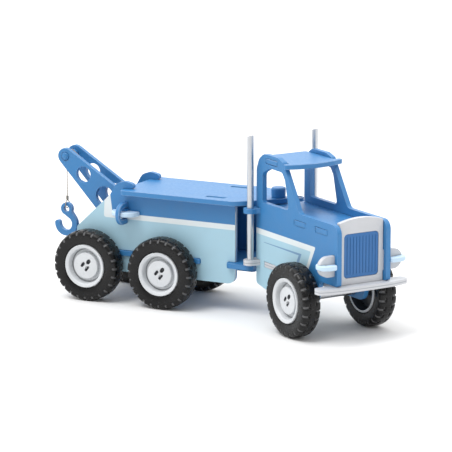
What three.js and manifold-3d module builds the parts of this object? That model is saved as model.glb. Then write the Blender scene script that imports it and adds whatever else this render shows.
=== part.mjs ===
// Toy tow truck of interlocking flat plates, with dowel axles and six rubber-tyred wheels.
// The rear body carries a flat deck and a fixed crane boom with a hand winch and a hook.
// The cab steers about a vertical kingpin at the front of the rear body, and stands turned to the right.
// Millimetres, +Z up, +X forward, +Y to the left. The rear body is drawn with x = 0 on the rear axle
// and z = 0 on the ground, and the cab with x = 0 on the kingpin. The whole is then centred in plan.
import * as THREE from 'three';
import { mergeVertices } from 'three/addons/utils/BufferGeometryUtils.js';
import Module from 'manifold-3d';

// Plates and clearances
const THICK = 4.8;              // every flat plate
const GAP = 0.3;                // clearance between touching pieces
const SLOT_GAP = 0.45;          // clearance round a tab in its slot
const PANEL_OUT = 29.2;         // outer face of both pairs of side panels
const PANEL_IN = PANEL_OUT - THICK;
const INSIDE = PANEL_IN - GAP;  // half-width of a plate that fits between the panels

// Wheels and axles
const WHEEL_R = 35;
const TYRE_W = 18.9;
const TRACK = 42;               // wheel centre plane, from the centreline
const RIM_R = 21.4;
const AXLE_R = 3;
const AXLE_HALF = 42.5;
const MID_AXLE_X = 81.1;
const FRONT_AXLE_X = 93;        // ahead of the kingpin

// Rear body
const CHASSIS_Z = 45;           // undersides of the level plates
const DECK_Z = 106.4;
const KINGPIN_X = 184.8;
const KINGPIN_R = 4;
const ARM_Y = 7.2;              // inner faces of the boom arms
const TIP = [-42.3, 133.8];     // boom tip pin, x and z
const TIP_PIN_R = 4.2;
const WINCH = [35, 87.8];       // winch axle, x and z
const WINCH_R = 4.75;
const DRUM_R = 6.5;
const LINE_R = 0.5;
const LINE_X = TIP[0] - TIP_PIN_R - LINE_R - GAP;

// Cab
const CAB_YAW = -32.5;          // degrees, turned to the right
const FLOOR_Z = 50.8;
const HOOD_Z = 100.9;
const ROOF_Z = 150.7;
const STACK = [7.3, 36];        // exhaust centre behind the cab, x and y
const STACK_R = 3.2;
const RING_R = 6.65;            // exhaust ring, outer
const GRILLE_X = 137.5;         // rear face of the grille plate
const LAMP_Z = 74.7;            // headlight disc mid-height

const BLUE = { color: 0x3f78b8, roughness: 0.5, metalness: 0 };
const LIGHT_BLUE = { color: 0xa5cfd9, roughness: 0.5, metalness: 0 };
const SILVER = { color: 0xccd3da, roughness: 0.35, metalness: 0.6 };
const WHITE = { color: 0xe9edf0, roughness: 0.4, metalness: 0 };
const STEEL = { color: 0xa9adb2, roughness: 0.3, metalness: 1 };
const RUBBER = { color: 0x1c1d1f, roughness: 0.8, metalness: 0 };
const TWINE = { color: 0x9c8f7e, roughness: 0.9, metalness: 0 };

const wasm = await Module();
wasm.setup();

// --- shape helpers ---------------------------------------------------------------------------

function piece(name, geometry, finish) {
  const mesh = new THREE.Mesh(geometry, new THREE.MeshStandardMaterial(finish));
  mesh.name = name;
  return mesh;
}

// Points of an arc about (cx, cy), both ends included, angles in degrees.
function arc(cx, cy, r, from, to, steps = 8) {
  return Array.from({ length: steps + 1 }, (_, i) => {
    const a = THREE.MathUtils.degToRad(from + ((to - from) * i) / steps);
    return [cx + r * Math.cos(a), cy + r * Math.sin(a)];
  });
}

function circle(cx, cy, r, steps = 16) {
  return arc(cx, cy, r, 0, 360, steps).slice(0, steps);
}

// Corners [x, y, radius] joined by straight lines, each corner rounded by a tangent arc.
function rounded(corners, stepDegrees = 22.5) {
  const points = [];
  corners.forEach(([x, y, r = 0], i) => {
    if (r === 0) {
      points.push([x, y]);
      return;
    }
    const corner = new THREE.Vector2(x, y);
    const [px, py] = corners.at(i - 1);
    const [nx, ny] = corners[(i + 1) % corners.length];
    const back = new THREE.Vector2(px, py).sub(corner).normalize();
    const on = new THREE.Vector2(nx, ny).sub(corner).normalize();
    const half = Math.acos(THREE.MathUtils.clamp(back.dot(on), -1, 1)) / 2;
    const inward = back.clone().add(on).normalize();
    const centre = corner.clone().addScaledVector(inward, r / Math.sin(half));
    const start = corner.clone().addScaledVector(back, r / Math.tan(half)).sub(centre).angle();
    const end = corner.clone().addScaledVector(on, r / Math.tan(half)).sub(centre).angle();
    const turn = THREE.MathUtils.euclideanModulo(end - start + Math.PI, 2 * Math.PI) - Math.PI;
    const steps = Math.max(2, Math.ceil(Math.abs(THREE.MathUtils.radToDeg(turn)) / stepDegrees));
    for (let k = 0; k <= steps; k += 1) {
      const a = start + (turn * k) / steps;
      points.push([centre.x + r * Math.cos(a), centre.y + r * Math.sin(a)]);
    }
  });
  return points;
}

function roundedBox(x0, x1, y0, y1, r) {
  return rounded([[x0, y0, r], [x1, y0, r], [x1, y1, r], [x0, y1, r]]);
}

// The slot for a tab of that size, with its clearance all round.
function slot(x0, x1, y0, y1) {
  const g = SLOT_GAP;
  return [[x0 - g, y0 - g], [x1 + g, y0 - g], [x1 + g, y1 + g], [x0 - g, y1 + g]];
}

function prism(outline, depth) {
  const shape = new THREE.Shape(outline.map(([x, y]) => new THREE.Vector2(x, y)));
  return new THREE.ExtrudeGeometry(shape, { depth, bevelEnabled: false });
}

// A flat plate with holes cut right through it.
function extrude(outline, holes, depth) {
  const cutters = holes.map((hole) => prism(hole, depth + 2).translate(0, 0, -1));
  return cut(prism(outline, depth), cutters);
}

// A level plate drawn in x and y, with its underside at z.
function levelPlate(outline, holes, z, thick = THICK) {
  return extrude(outline, holes, thick).translate(0, 0, z);
}

// An upright lengthwise plate drawn in x and z, with its right face at y.
function sidePlate(outline, holes, y, thick = THICK) {
  return extrude(outline, holes, thick).rotateX(Math.PI / 2).translate(0, y + thick, 0);
}

// An upright crosswise plate drawn in y and z, with its rear face at x.
function crossPlate(outline, holes, x, thick = THICK) {
  const turn = new THREE.Matrix4().makeBasis(
    new THREE.Vector3(0, 1, 0),
    new THREE.Vector3(0, 0, 1),
    new THREE.Vector3(1, 0, 0),
  );
  return extrude(outline, holes, thick).applyMatrix4(turn).translate(x, 0, 0);
}

// A turned solid about its own Y axis. The profile [radius, height] runs anticlockwise.
function turned(profile, segments = 20) {
  return new THREE.LatheGeometry(profile.map(([r, h]) => new THREE.Vector2(r, h)), segments);
}

function rod(r, y0, y1, segments = 16) {
  return turned([[0, y0], [r, y0], [r, y1], [0, y1]], segments);
}

// The same pieces on the right and on the left: side is -1 on the right.
const SIDES = [['right', -1], ['left', 1]];

// The whole outline of a plate from its left half, which may begin and end on the centreline.
function mirrored(half) {
  const right = half.filter(([, y]) => Math.abs(y) > 1e-6).map(([x, y, r]) => [x, -y, r]);
  return [...half, ...right.reverse()];
}

function toSolid(geometry) {
  const bare = geometry.clone();
  bare.deleteAttribute('normal');
  bare.deleteAttribute('uv');
  const merged = mergeVertices(bare, 1e-4);
  return new wasm.Manifold(new wasm.Mesh({
    numProp: 3,
    vertProperties: new Float32Array(merged.attributes.position.array),
    triVerts: new Uint32Array(merged.index.array),
  }));
}

function toGeometry(solid) {
  const mesh = solid.getMesh();
  const geometry = new THREE.BufferGeometry();
  geometry.setAttribute('position', new THREE.BufferAttribute(mesh.vertProperties, 3));
  geometry.setIndex(new THREE.BufferAttribute(mesh.triVerts, 1));
  return geometry;
}

function cut(geometry, cutters) {
  const rest = cutters.reduce((solid, cutter) => solid.subtract(toSolid(cutter)), toSolid(geometry));
  return toGeometry(rest);
}

function block(sizeX, sizeY, sizeZ, x, y, z) {
  return new THREE.BoxGeometry(sizeX, sizeY, sizeZ).translate(x, y, z);
}

// --- wheels ----------------------------------------------------------------------------------

// One wheel about its own centre, with its outer face towards +Y.
function wheel(place) {
  const half = TYRE_W / 2;
  const bore = RIM_R + GAP;
  const hubIn = TRACK - PANEL_OUT - 1;
  const floor = AXLE_HALF - TRACK + GAP;
  const tyre = [
    [bore, -half], [WHEEL_R - 4, -half], [WHEEL_R - 1.2, -half + 1.4], [WHEEL_R, -half + 3.6],
    [WHEEL_R, half - 3.6], [WHEEL_R - 1.2, half - 1.4], [WHEEL_R - 4, half], [bore, half], [bore, -half],
  ];
  const rim = [
    [0, floor], [AXLE_R + GAP, floor], [AXLE_R + GAP, -hubIn], [6, -hubIn], [6.6, 0], [17.8, 0],
    [19.2, -half], [RIM_R, -half], [RIM_R, half - 0.2], [20.6, half + 0.24], [17.4, 7.6], [16.2, 2.3],
    [0, 2.3],
  ];
  const cap = [[0, 2.6], [13.2, 2.6], [13.4, 6], [12.8, 6.6], [7, 7], [0, 7.1]];
  const group = new THREE.Group();
  group.add(piece(`tyre_${place}`, turned(tyre, 32), RUBBER));
  group.add(piece(`rim_${place}`, turned(rim), WHITE));
  group.add(piece(`hub_cap_${place}`, turned(cap), WHITE));
  return group;
}

// An axle rod and its two wheels, at x on the given body.
function axle(place, x) {
  const group = new THREE.Group();
  group.position.set(x, 0, WHEEL_R);
  group.add(piece(`axle_${place}`, rod(AXLE_R, -AXLE_HALF, AXLE_HALF), STEEL));
  for (const [side, sign] of SIDES) {
    const one = wheel(`${place}_${side}`);
    one.position.y = sign * TRACK;
    one.rotation.x = sign > 0 ? 0 : Math.PI;
    group.add(one);
  }
  return group;
}

// --- rear body -------------------------------------------------------------------------------

const EARS = [[-6, 48], [70, 116]];         // chassis ears through the panels, in x
const EAR_OUT = 31.8;
const SHOULDER = [145.6, 173.5];            // wide front of the chassis, which stops the steering
const DECK_TAB = [121.5, 141];              // panel tab up through the deck
const ARM_FOOT = [30, 44];                  // boom foot down through the chassis
const DECK_HALF = 39.2;

function rearPanel(y) {
  const notch = [CHASSIS_Z - GAP, CHASSIS_Z + THICK + GAP];
  const top = DECK_Z - GAP;
  const tabTop = DECK_Z + THICK - 1;
  const outline = rounded([
    [-20, 28.5, 8], [153, 28.5, 8],
    [153, notch[0]], [SHOULDER[0] - GAP, notch[0]], [SHOULDER[0] - GAP, notch[1]], [153, notch[1]],
    [153, top, 3], [DECK_TAB[1], top], [DECK_TAB[1], tabTop, 1.5],
    [DECK_TAB[0], tabTop, 1.5], [DECK_TAB[0], top], [31.9, top],
    [31.9, DECK_Z + THICK + GAP], [44.8, DECK_Z + THICK + GAP, 2.4], [42, 116.6, 3.2],
    [33.4, 118.5, 8], [24, 115.6, 8], [17.2, 103.7, 3], [-20, 69, 4],
  ]);
  const holes = [
    ...EARS.map(([x0, x1]) => slot(x0, x1, CHASSIS_Z, CHASSIS_Z + THICK)),
    circle(0, WHEEL_R, AXLE_R + GAP),
    circle(MID_AXLE_X, WHEEL_R, AXLE_R + GAP),
    circle(...WINCH, WINCH_R + GAP, 20),
  ];
  return sidePlate(outline, holes, y);
}

// The deck narrows to a round nose over the kingpin.
function deck() {
  const nose = arc(KINGPIN_X, 0, 9.2, 47.4, 0, 4);
  const outline = rounded(mirrored([[32.5, DECK_HALF, 5], [156.1, DECK_HALF, 14], ...nose]));
  const holes = [circle(KINGPIN_X, 0, KINGPIN_R + GAP)];
  for (const [, sign] of SIDES) {
    const [near, far] = [sign * PANEL_IN, sign * PANEL_OUT].sort((a, b) => a - b);
    holes.push(slot(...DECK_TAB, near, far));
  }
  return levelPlate(outline, holes, DECK_Z);
}

function chassis() {
  const half = [[-15, INSIDE, 2]];
  for (const [x0, x1] of EARS) {
    half.push([x0, INSIDE], [x0, EAR_OUT, 2], [x1, EAR_OUT, 2], [x1, INSIDE]);
  }
  half.push([SHOULDER[0], INSIDE], [SHOULDER[0], 36, 5], [SHOULDER[1], 36, 5], [SHOULDER[1], 12, 4]);
  const outline = rounded(mirrored([...half, ...arc(KINGPIN_X, 0, 12, 90, 0, 6)]));
  const holes = [circle(KINGPIN_X, 0, KINGPIN_R + GAP)];
  for (const [, sign] of SIDES) {
    const [near, far] = [sign * ARM_Y, sign * (ARM_Y + THICK)].sort((a, b) => a - b);
    holes.push(slot(...ARM_FOOT, near, far));
  }
  return levelPlate(outline, holes, CHASSIS_Z);
}

// The arm tapers from a wide root on the chassis to a round tip.
function boomArm(y) {
  const [tipX, tipZ] = TIP;
  const [upper, lower] = [58.2, 222.7];     // directions in which the two edges leave the tip
  const sole = CHASSIS_Z + THICK + GAP;
  const toe = CHASSIS_Z - 1.5;
  const outline = rounded([
    ...arc(tipX, tipZ, 8.2, upper, lower, 9),
    [23.7, sole, 2], [ARM_FOOT[0], sole], [ARM_FOOT[0], toe, 1], [ARM_FOOT[1], toe, 1],
    [ARM_FOOT[1], sole], [50, sole, 2], [50, 85.7, 6],
  ]);
  const holes = [
    circle(tipX, tipZ, TIP_PIN_R + GAP),
    circle(-21.9, 117.3, 8, 20),
    circle(1.6, 97.7, 9.7, 20),
    circle(...WINCH, WINCH_R + GAP, 20),
  ];
  return sidePlate(outline, holes, y);
}

function kingpin() {
  const head = CHASSIS_Z - GAP;
  const r = KINGPIN_R;
  return turned([[0, head - 3.2], [6.5, head - 3.2], [6.5, head], [r, head], [r, 117.2], [0, 117.2]])
    .rotateX(Math.PI / 2);
}

function kingpinKnob() {
  const foot = DECK_Z + THICK + GAP;
  const bore = KINGPIN_R + GAP;
  return turned([
    [0, 117.5], [bore, 117.5], [bore, foot], [6.8, foot], [7.1, 119.6], [6.1, 121], [0, 121.2],
  ]).rotateX(Math.PI / 2);
}

function tipPin() {
  const end = ARM_Y + THICK;
  const dome = [[TIP_PIN_R, end], [3.4, end + 1.1], [1.8, end + 1.8]];
  const lower = dome.map(([r, y]) => [r, -y]).reverse();
  return turned([[0, -end - 2], ...lower, ...dome, [0, end + 2]], 16);
}

// --- winch -----------------------------------------------------------------------------------

const CRANK_IN = PANEL_OUT + 0.4;           // inner edge of the crank plates, clear of the panel
const CRANK_HALF = 10.8;                    // half-height of the upright crank plate
const CRANK_DISC_R = 14.6;
const CRANK_DISC_X = 1;                     // its centre ahead of the axle
const AXLE_END = 36;                        // the winch axle's end, slit for the crank disc

function winchAxle() {
  const slit = THICK + 2 * GAP;
  const depth = AXLE_END - CRANK_IN + GAP + 1;
  const slits = SIDES.map(([, sign]) => (
    block(3 * WINCH_R, depth, slit, 0, sign * (CRANK_IN - GAP + depth / 2), 0)
  ));
  return cut(rod(WINCH_R, -AXLE_END, AXLE_END, 20), slits);
}

function drum() {
  const half = ARM_Y - GAP;
  const bore = WINCH_R + GAP;
  return turned([[bore, -half], [DRUM_R, -half], [DRUM_R, half], [bore, half], [bore, -half]]);
}

// Upright plate with a round outer end, open towards the panel around the axle and the disc.
function crankPlate(sign) {
  const mouth = WINCH_R + 0.45;
  const outer = CRANK_IN + 18.4 - CRANK_HALF;
  const inner = CRANK_IN + CRANK_DISC_R + 0.6 - mouth;
  const outline = [
    [CRANK_IN, mouth], [CRANK_IN, CRANK_HALF],
    ...arc(outer, 0, CRANK_HALF, 90, -90, 14),
    [CRANK_IN, -CRANK_HALF], [CRANK_IN, -mouth],
    ...arc(inner, 0, mouth, -90, 90, 10),
  ].map(([y, z]) => [sign * y, z]);
  return crossPlate(outline, [], -THICK / 2);
}

function crankDisc(sign) {
  const from = sign > 0 ? 0 : 180;
  const outline = arc(CRANK_DISC_X, sign * CRANK_IN, CRANK_DISC_R, from, from + 180, 16);
  return levelPlate(outline, [], -THICK / 2);
}

// --- line and hook ---------------------------------------------------------------------------

// A round cord of the line's radius along a route of points.
function cord(route, steps) {
  const section = new THREE.Shape(circle(0, 0, LINE_R, 8).map(([x, y]) => new THREE.Vector2(x, y)));
  const path = new THREE.CatmullRomCurve3(route.map(([x, z]) => new THREE.Vector3(x, 0, z)));
  return new THREE.ExtrudeGeometry(section, { steps, bevelEnabled: false, extrudePath: path });
}

// Round the front of the drum and out from under it, straight to the boom tip and over its pin.
const LINE_ROUTE = [
  [40.59, 92.49], [42.27, 88.44], [41.32, 84.15], [38.09, 81.18], [33.73, 80.61], [30.44, 82.1],
  [16.52, 93.22], [2.59, 104.34], [-11.33, 115.47], [-25.26, 126.59], [-39.18, 137.71],
  [-41.01, 138.63], [-43.59, 138.63], [-45.84, 137.34], [-47, 135.51], [-47.3, 133.8],
];
const FALL_TOP = TIP[1] - GAP;
const CRIMP = [87.8, 91.8];                 // crimp, from and to in z
const FALL_FOOT = CRIMP[1] + GAP;
const EYE = [LINE_X, 78.7];                 // hook eye, x and z
const EYE_R = 3.2;
const EYE_RING = 6.3;

function lineLoop() {
  const ring = new THREE.TorusGeometry(3.75, LINE_R, 6, 16);
  return ring.rotateY(Math.PI / 2).translate(EYE[0], 0, EYE[1] + (EYE_R + EYE_RING) / 2);
}

function crimp() {
  const profile = [[0, CRIMP[0]], [1.5, CRIMP[0]], [1.3, CRIMP[1]], [0, CRIMP[1]]];
  return turned(profile, 12).rotateX(Math.PI / 2).translate(EYE[0], 0, 0);
}

// A J hook: the shank leaves the eye ring forward and rounds back under it to an upturned tip.
function hook() {
  const [cx, cz] = [-48, 63.8];
  const [outR, inR] = [12.5, 6.9];
  const tipR = (outR - inR) / 2;
  const outline = [
    ...arc(...EYE, EYE_RING, 250, -25, 14),
    ...arc(cx, cz, outR, 32, -180, 14),
    ...arc(cx - inR - tipR, cz, tipR, 150, 30, 4),
    ...arc(cx, cz, inR, -180, 50, 12),
  ];
  return sidePlate(outline, [circle(...EYE, EYE_R, 16)], -THICK / 2);
}

// --- cab -------------------------------------------------------------------------------------

const FLOOR_TAB = [21.6, 42.2];
const HOOD_TABS = [[73.6, 92.6], [110, 130.4]];
const ROOF_TAB = [24, 44];
const TAB_OUT = PANEL_OUT + 0.3;
const LOBE_Z = [65.1, 84.3];                 // headlight lobes of the grille plate
const LOBE_OUT = 45.2;
const LOBE_R = 9.6;
const INSERT = [18.7, 62, 102.8];           // grille insert: half-width, and from and to in z
const LAP_Y = 38;                           // where the lobe's slot meets the disc's slot
const DISC_Y = { right: 36.6, left: 39.4 };  // the left disc stands further out of its slot
const DISC_R = 9.6;

function cabPanel(y) {
  const back = 7.2;
  const notchX = STACK[0] + RING_R + GAP;
  const notch = (z) => [
    [back, z + THICK + GAP], [notchX, z + THICK + GAP], [notchX, z - GAP], [back, z - GAP],
  ];
  const outline = rounded([
    [back, 32.4, 4], [24.6, 29.2, 8], [108.4, 29.2, 8], [118.4, 56, 5], [147, 56, 2],
    [147, 112.5, 8.5], [82.6, 112.5, 6], [55.4, 153.8, 3], [53.6, 156.2, 3], [44, 159.2, 10],
    [20, 159.2, 10], [11.4, 153, 8], [back, 143, 8],
    ...notch(HOOD_Z), ...notch(FLOOR_Z),
  ]);
  const window = rounded([
    [18, 112.4, 2.5], [18, 140.6, 5], [31, 146.9, 8], [52.5, 146.5, 4], [57.4, 140, 8], [64.6, 112.4, 3.5],
  ]);
  const holes = [
    window,
    slot(...ROOF_TAB, ROOF_Z, ROOF_Z + THICK),
    ...HOOD_TABS.map(([x0, x1]) => slot(x0, x1, HOOD_Z, HOOD_Z + THICK)),
    slot(...FLOOR_TAB, FLOOR_Z, FLOOR_Z + THICK),
    slot(GRILLE_X, GRILLE_X + THICK, ...LOBE_Z),
    circle(FRONT_AXLE_X, WHEEL_R, AXLE_R + GAP),
  ];
  return sidePlate(outline, holes, y);
}

// A rounded tab out through the side panel, between x0 and x1.
function tab([x0, x1]) {
  return [[x0, INSIDE], [x0, TAB_OUT, 1.5], [x1, TAB_OUT, 1.5], [x1, INSIDE]];
}

// The rear of both long level plates: round the kingpin, then out to the exhaust rings.
const PLATE_REAR = [
  ...arc(0, 0, 8.8, 180, 100, 4),
  [STACK[0] - RING_R, 13, 3],
  ...arc(...STACK, RING_R, 180, 0, 8),
  [STACK[0] + RING_R, INSIDE],
];

function longPlate(front, z, moreHoles = []) {
  const outline = rounded(mirrored([...PLATE_REAR, ...front]));
  const stackHoles = SIDES.map(([, sign]) => circle(STACK[0], sign * STACK[1], STACK_R + GAP, 16));
  return levelPlate(outline, [circle(0, 0, KINGPIN_R + GAP), ...stackHoles, ...moreHoles], z);
}

const COLUMN = [31, 2.4];                   // steering column, x and radius

function hoodPlate() {
  const front = [...HOOD_TABS.flatMap(tab), [GRILLE_X - GAP, INSIDE, 1]];
  return longPlate(front, HOOD_Z, [circle(COLUMN[0], 0, COLUMN[1] + GAP, 16)]);
}

const BUMPER_X = 152.6;                     // flat middle of the bumper's front

// The floor runs forward under the panels into a bowed bumper.
function bumperPlate() {
  const bow = [[150.1, 40], [151.9, 28], [BUMPER_X, 10]];
  const front = [...tab(FLOOR_TAB), [136.7, INSIDE, 2], [136.7, 49, 4.5], [147.5, 49, 4.5], ...bow];
  return longPlate(front, FLOOR_Z);
}

function roofPlate() {
  const visor = [[58.2, INSIDE, 1], [58.2, 31.5, 2], [62.4, 31.5, 2], [66.6, 20, 20], [69.4, 4]];
  const half = [[10.5, INSIDE, 3], ...tab(ROOF_TAB), ...visor];
  return levelPlate(rounded(mirrored(half)), [], ROOF_Z);
}

// The radiator front, arched on top, with a headlight lobe out through each side panel.
function grillePlate() {
  const half = 23.6;
  const foot = FLOOR_Z + THICK + GAP;
  const lapZ = THICK / 2 + GAP;
  const lobe = [
    [half, LOBE_Z[0]], [34, LOBE_Z[0], 4],
    ...arc(LOBE_OUT - LOBE_R, LAMP_Z, LOBE_R, -84, -17, 6),
    [LAP_Y, LAMP_Z - lapZ], [LAP_Y, LAMP_Z + lapZ],
    ...arc(LOBE_OUT - LOBE_R, LAMP_Z, LOBE_R, 17, 84, 6),
    [34, LOBE_Z[1], 4], [half, LOBE_Z[1]],
  ];
  const arch = arc(0, 113.4 - 75.7, 79.3, 72.8, 90, 5);
  const right = [[half, foot, 1], ...lobe, [half, 112, 3], ...arch];
  const left = right.slice(0, -1).map(([y, z, r]) => [-y, z, r]).reverse();
  const [y, low, high] = INSERT;
  const window = roundedBox(-y - GAP, y + GAP, low - GAP, high + GAP, 3.8);
  return crossPlate(rounded([...right, ...left]), [window], GRILLE_X);
}

// The blue radiator set into the grille plate, with upright grooves in its face.
function grilleInsert() {
  const [halfY, low, high] = INSERT;
  const rear = GRILLE_X + GAP;
  const thick = THICK - 2 * GAP;
  const grooves = 10;
  const pitch = (2 * halfY - 3) / grooves;
  const cutters = Array.from({ length: grooves }, (_, i) => (
    block(1.2, 1, high - low - 6, rear + thick, (i - (grooves - 1) / 2) * pitch, (low + high) / 2)
  ));
  return cut(crossPlate(roundedBox(-halfY, halfY, low, high, 3.5), [], rear, thick), cutters);
}

// A round-ended plate whose flat meets the panel, with a slot that straddles the lobe.
function headlightDisc(side, sign) {
  const flat = PANEL_OUT + GAP;
  const mid = GRILLE_X + THICK / 2;
  const lap = THICK / 2 + GAP;
  const outline = rounded([
    [mid + lap, LAP_Y + GAP], [mid + lap, flat], [mid + DISC_R, flat, 3],
    ...arc(mid, DISC_Y[side], DISC_R, 0, 180, 18),
    [mid - DISC_R, flat, 3], [mid - lap, flat], [mid - lap, LAP_Y + GAP],
  ]).map(([x, y]) => [x, sign * y]);
  return levelPlate(outline, [], LAMP_Z - THICK / 2);
}

// An open pipe with a slanted mouth, higher towards the front.
function exhaust() {
  const [foot, top] = [FLOOR_Z + 0.1, 174.6];
  const bore = STACK_R - 0.8;
  const profile = [[bore, foot], [STACK_R, foot], [STACK_R, top], [bore, top], [bore, foot]];
  const pipe = turned(profile).rotateX(Math.PI / 2);
  const position = pipe.attributes.position;
  for (let i = 0; i < position.count; i += 1) {
    if (position.getZ(i) > top - 1) {
      position.setZ(i, top + 0.42 * position.getX(i));
    }
  }
  return pipe;
}

function steeringWheel() {
  const outline = circle(0, 0, 7.5, 24);
  const holes = [circle(0, 0, COLUMN[1] + GAP, 16)];
  for (let k = 0; k < 3; k += 1) {
    const middle = 90 + 120 * k;
    const rimSide = arc(0, 0, 5.8, middle - 40, middle + 40, 6);
    holes.push([...rimSide, ...arc(0, 0, 4, middle + 30, middle - 30, 4)]);
  }
  return levelPlate(outline, holes, -1.6, 3.2);
}

// --- assembly --------------------------------------------------------------------------------

function at(mesh, x, y, z) {
  mesh.position.set(x, y, z);
  return mesh;
}

function rearBody() {
  const body = new THREE.Group();
  for (const [side, sign] of SIDES) {
    const panelY = sign > 0 ? PANEL_IN : -PANEL_OUT;
    const armY = sign > 0 ? ARM_Y : -ARM_Y - THICK;
    body.add(piece(`side_panel_${side}`, rearPanel(panelY), LIGHT_BLUE));
    body.add(piece(`boom_arm_${side}`, boomArm(armY), BLUE));
    body.add(at(piece(`crank_plate_${side}`, crankPlate(sign), BLUE), WINCH[0], 0, WINCH[1]));
    body.add(at(piece(`crank_disc_${side}`, crankDisc(sign), LIGHT_BLUE), WINCH[0], 0, WINCH[1]));
  }
  body.add(piece('deck_plate', deck(), BLUE));
  body.add(piece('chassis_plate', chassis(), BLUE));
  body.add(at(piece('kingpin', kingpin(), BLUE), KINGPIN_X, 0, 0));
  body.add(at(piece('kingpin_knob', kingpinKnob(), BLUE), KINGPIN_X, 0, 0));
  body.add(at(piece('boom_tip_pin', tipPin(), BLUE), TIP[0], 0, TIP[1]));
  body.add(at(piece('winch_axle', winchAxle(), BLUE), WINCH[0], 0, WINCH[1]));
  body.add(at(piece('winch_drum', drum(), LIGHT_BLUE), WINCH[0], 0, WINCH[1]));
  body.add(axle('rear', 0));
  body.add(axle('mid', MID_AXLE_X));
  return body;
}

function lineAndHook() {
  const group = new THREE.Group();
  group.add(piece('line_inboard', cord(LINE_ROUTE, 40), TWINE));
  group.add(piece('line_fall', cord([[LINE_X, FALL_FOOT], [LINE_X, FALL_TOP]], 16), TWINE));
  group.add(piece('line_loop', lineLoop(), TWINE));
  group.add(piece('line_crimp', crimp(), STEEL));
  group.add(piece('tow_hook', hook(), BLUE));
  return group;
}

function cab() {
  const group = new THREE.Group();
  for (const [side, sign] of SIDES) {
    const panelY = sign > 0 ? PANEL_IN : -PANEL_OUT;
    group.add(piece(`cab_panel_${side}`, cabPanel(panelY), BLUE));
    group.add(at(piece(`exhaust_${side}`, exhaust(), STEEL), STACK[0], sign * STACK[1], 0));
    group.add(piece(`headlight_disc_${side}`, headlightDisc(side, sign), LIGHT_BLUE));
  }
  group.add(piece('roof_plate', roofPlate(), BLUE));
  group.add(piece('hood_plate', hoodPlate(), BLUE));
  group.add(piece('bumper_plate', bumperPlate(), SILVER));
  group.add(piece('grille_plate', grillePlate(), SILVER));
  group.add(piece('grille_insert', grilleInsert(), BLUE));
  const column = rod(COLUMN[1], HOOD_Z - 1.5, 117).rotateX(Math.PI / 2);
  group.add(at(piece('steering_column', column, BLUE), COLUMN[0], 0, 0));
  group.add(at(piece('steering_wheel', steeringWheel(), BLUE), COLUMN[0], 0, 115));
  group.add(axle('front', FRONT_AXLE_X));
  group.position.x = KINGPIN_X;
  group.rotation.z = THREE.MathUtils.degToRad(CAB_YAW);
  return group;
}

const truck = new THREE.Group();
truck.add(rearBody(), lineAndHook(), cab());
truck.updateMatrixWorld(true);
const middle = new THREE.Box3().setFromObject(truck, true).getCenter(new THREE.Vector3());
truck.position.set(-middle.x, -middle.y, 0);

export default truck;
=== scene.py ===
# Looks of the toy tow truck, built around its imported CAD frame.
# Helper shapes are drawn in millimetres, in the rear body's own frame (x = 0 on the rear axle) or
# the cab's (x = 0 on the kingpin, forward along ALONG_CAB), and then placed in the frame's metres.
import math

import bmesh
import bpy
from mathutils import Matrix, Vector


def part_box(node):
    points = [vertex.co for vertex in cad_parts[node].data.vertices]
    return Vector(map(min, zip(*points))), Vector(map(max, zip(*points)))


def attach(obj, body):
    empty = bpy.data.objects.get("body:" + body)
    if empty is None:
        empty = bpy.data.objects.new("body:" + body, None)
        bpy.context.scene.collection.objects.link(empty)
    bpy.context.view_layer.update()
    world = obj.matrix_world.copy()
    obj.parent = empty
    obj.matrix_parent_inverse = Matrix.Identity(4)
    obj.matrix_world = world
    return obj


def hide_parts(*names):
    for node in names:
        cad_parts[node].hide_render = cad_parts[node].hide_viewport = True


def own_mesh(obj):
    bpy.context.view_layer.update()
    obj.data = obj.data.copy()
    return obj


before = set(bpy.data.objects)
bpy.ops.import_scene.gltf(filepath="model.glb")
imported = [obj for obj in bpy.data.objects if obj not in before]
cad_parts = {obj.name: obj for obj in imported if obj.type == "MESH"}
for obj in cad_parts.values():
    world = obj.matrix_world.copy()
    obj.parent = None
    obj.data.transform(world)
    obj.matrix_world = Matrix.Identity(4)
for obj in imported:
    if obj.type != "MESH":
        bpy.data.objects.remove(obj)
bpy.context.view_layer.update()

MM = 0.001
SIDES = (("right", -1), ("left", 1))


def middle(node):
    low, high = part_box(node)
    return (low + high) / 2


REAR_AXLE = middle("axle_rear")
KINGPIN = middle("kingpin")
FRONT_AXLE = middle("axle_front")
ALONG_CAB = Vector((FRONT_AXLE.x - KINGPIN.x, FRONT_AXLE.y - KINGPIN.y, 0)).normalized()


def in_rear(x, y, z):
    """A point of the rear body's frame, from millimetres to the frame's metres."""
    return Vector((REAR_AXLE.x + x * MM, REAR_AXLE.y + y * MM, z * MM))


def in_cab(x, y, z):
    """A point of the cab's frame, from millimetres to the frame's metres."""
    across = Vector((-ALONG_CAB.y, ALONG_CAB.x, 0))
    return Vector((KINGPIN.x, KINGPIN.y, z * MM)) + (ALONG_CAB * x + across * y) * MM


# --- camera ----------------------------------------------------------------------------------

CAMERA_TURN = math.radians(26.5)    # from square on to the right side, towards the front
CAMERA_RISE = math.radians(12.1)
CAMERA_AWAY = 2.6
CAMERA_LENS = 214.4


def make_camera():
    aim = in_rear(128.8, 0, 77.6)
    back = Vector((
        math.sin(CAMERA_TURN) * math.cos(CAMERA_RISE),
        -math.cos(CAMERA_TURN) * math.cos(CAMERA_RISE),
        math.sin(CAMERA_RISE),
    ))
    data = bpy.data.cameras.new("camera")
    data.lens = CAMERA_LENS
    camera = bpy.data.objects.new("camera", data)
    camera.location = aim + back * CAMERA_AWAY
    camera.rotation_euler = back.to_track_quat("Z", "Y").to_euler()
    bpy.context.scene.collection.objects.link(camera)
    bpy.context.scene.camera = camera


make_camera()


# --- mesh helpers ----------------------------------------------------------------------------

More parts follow.
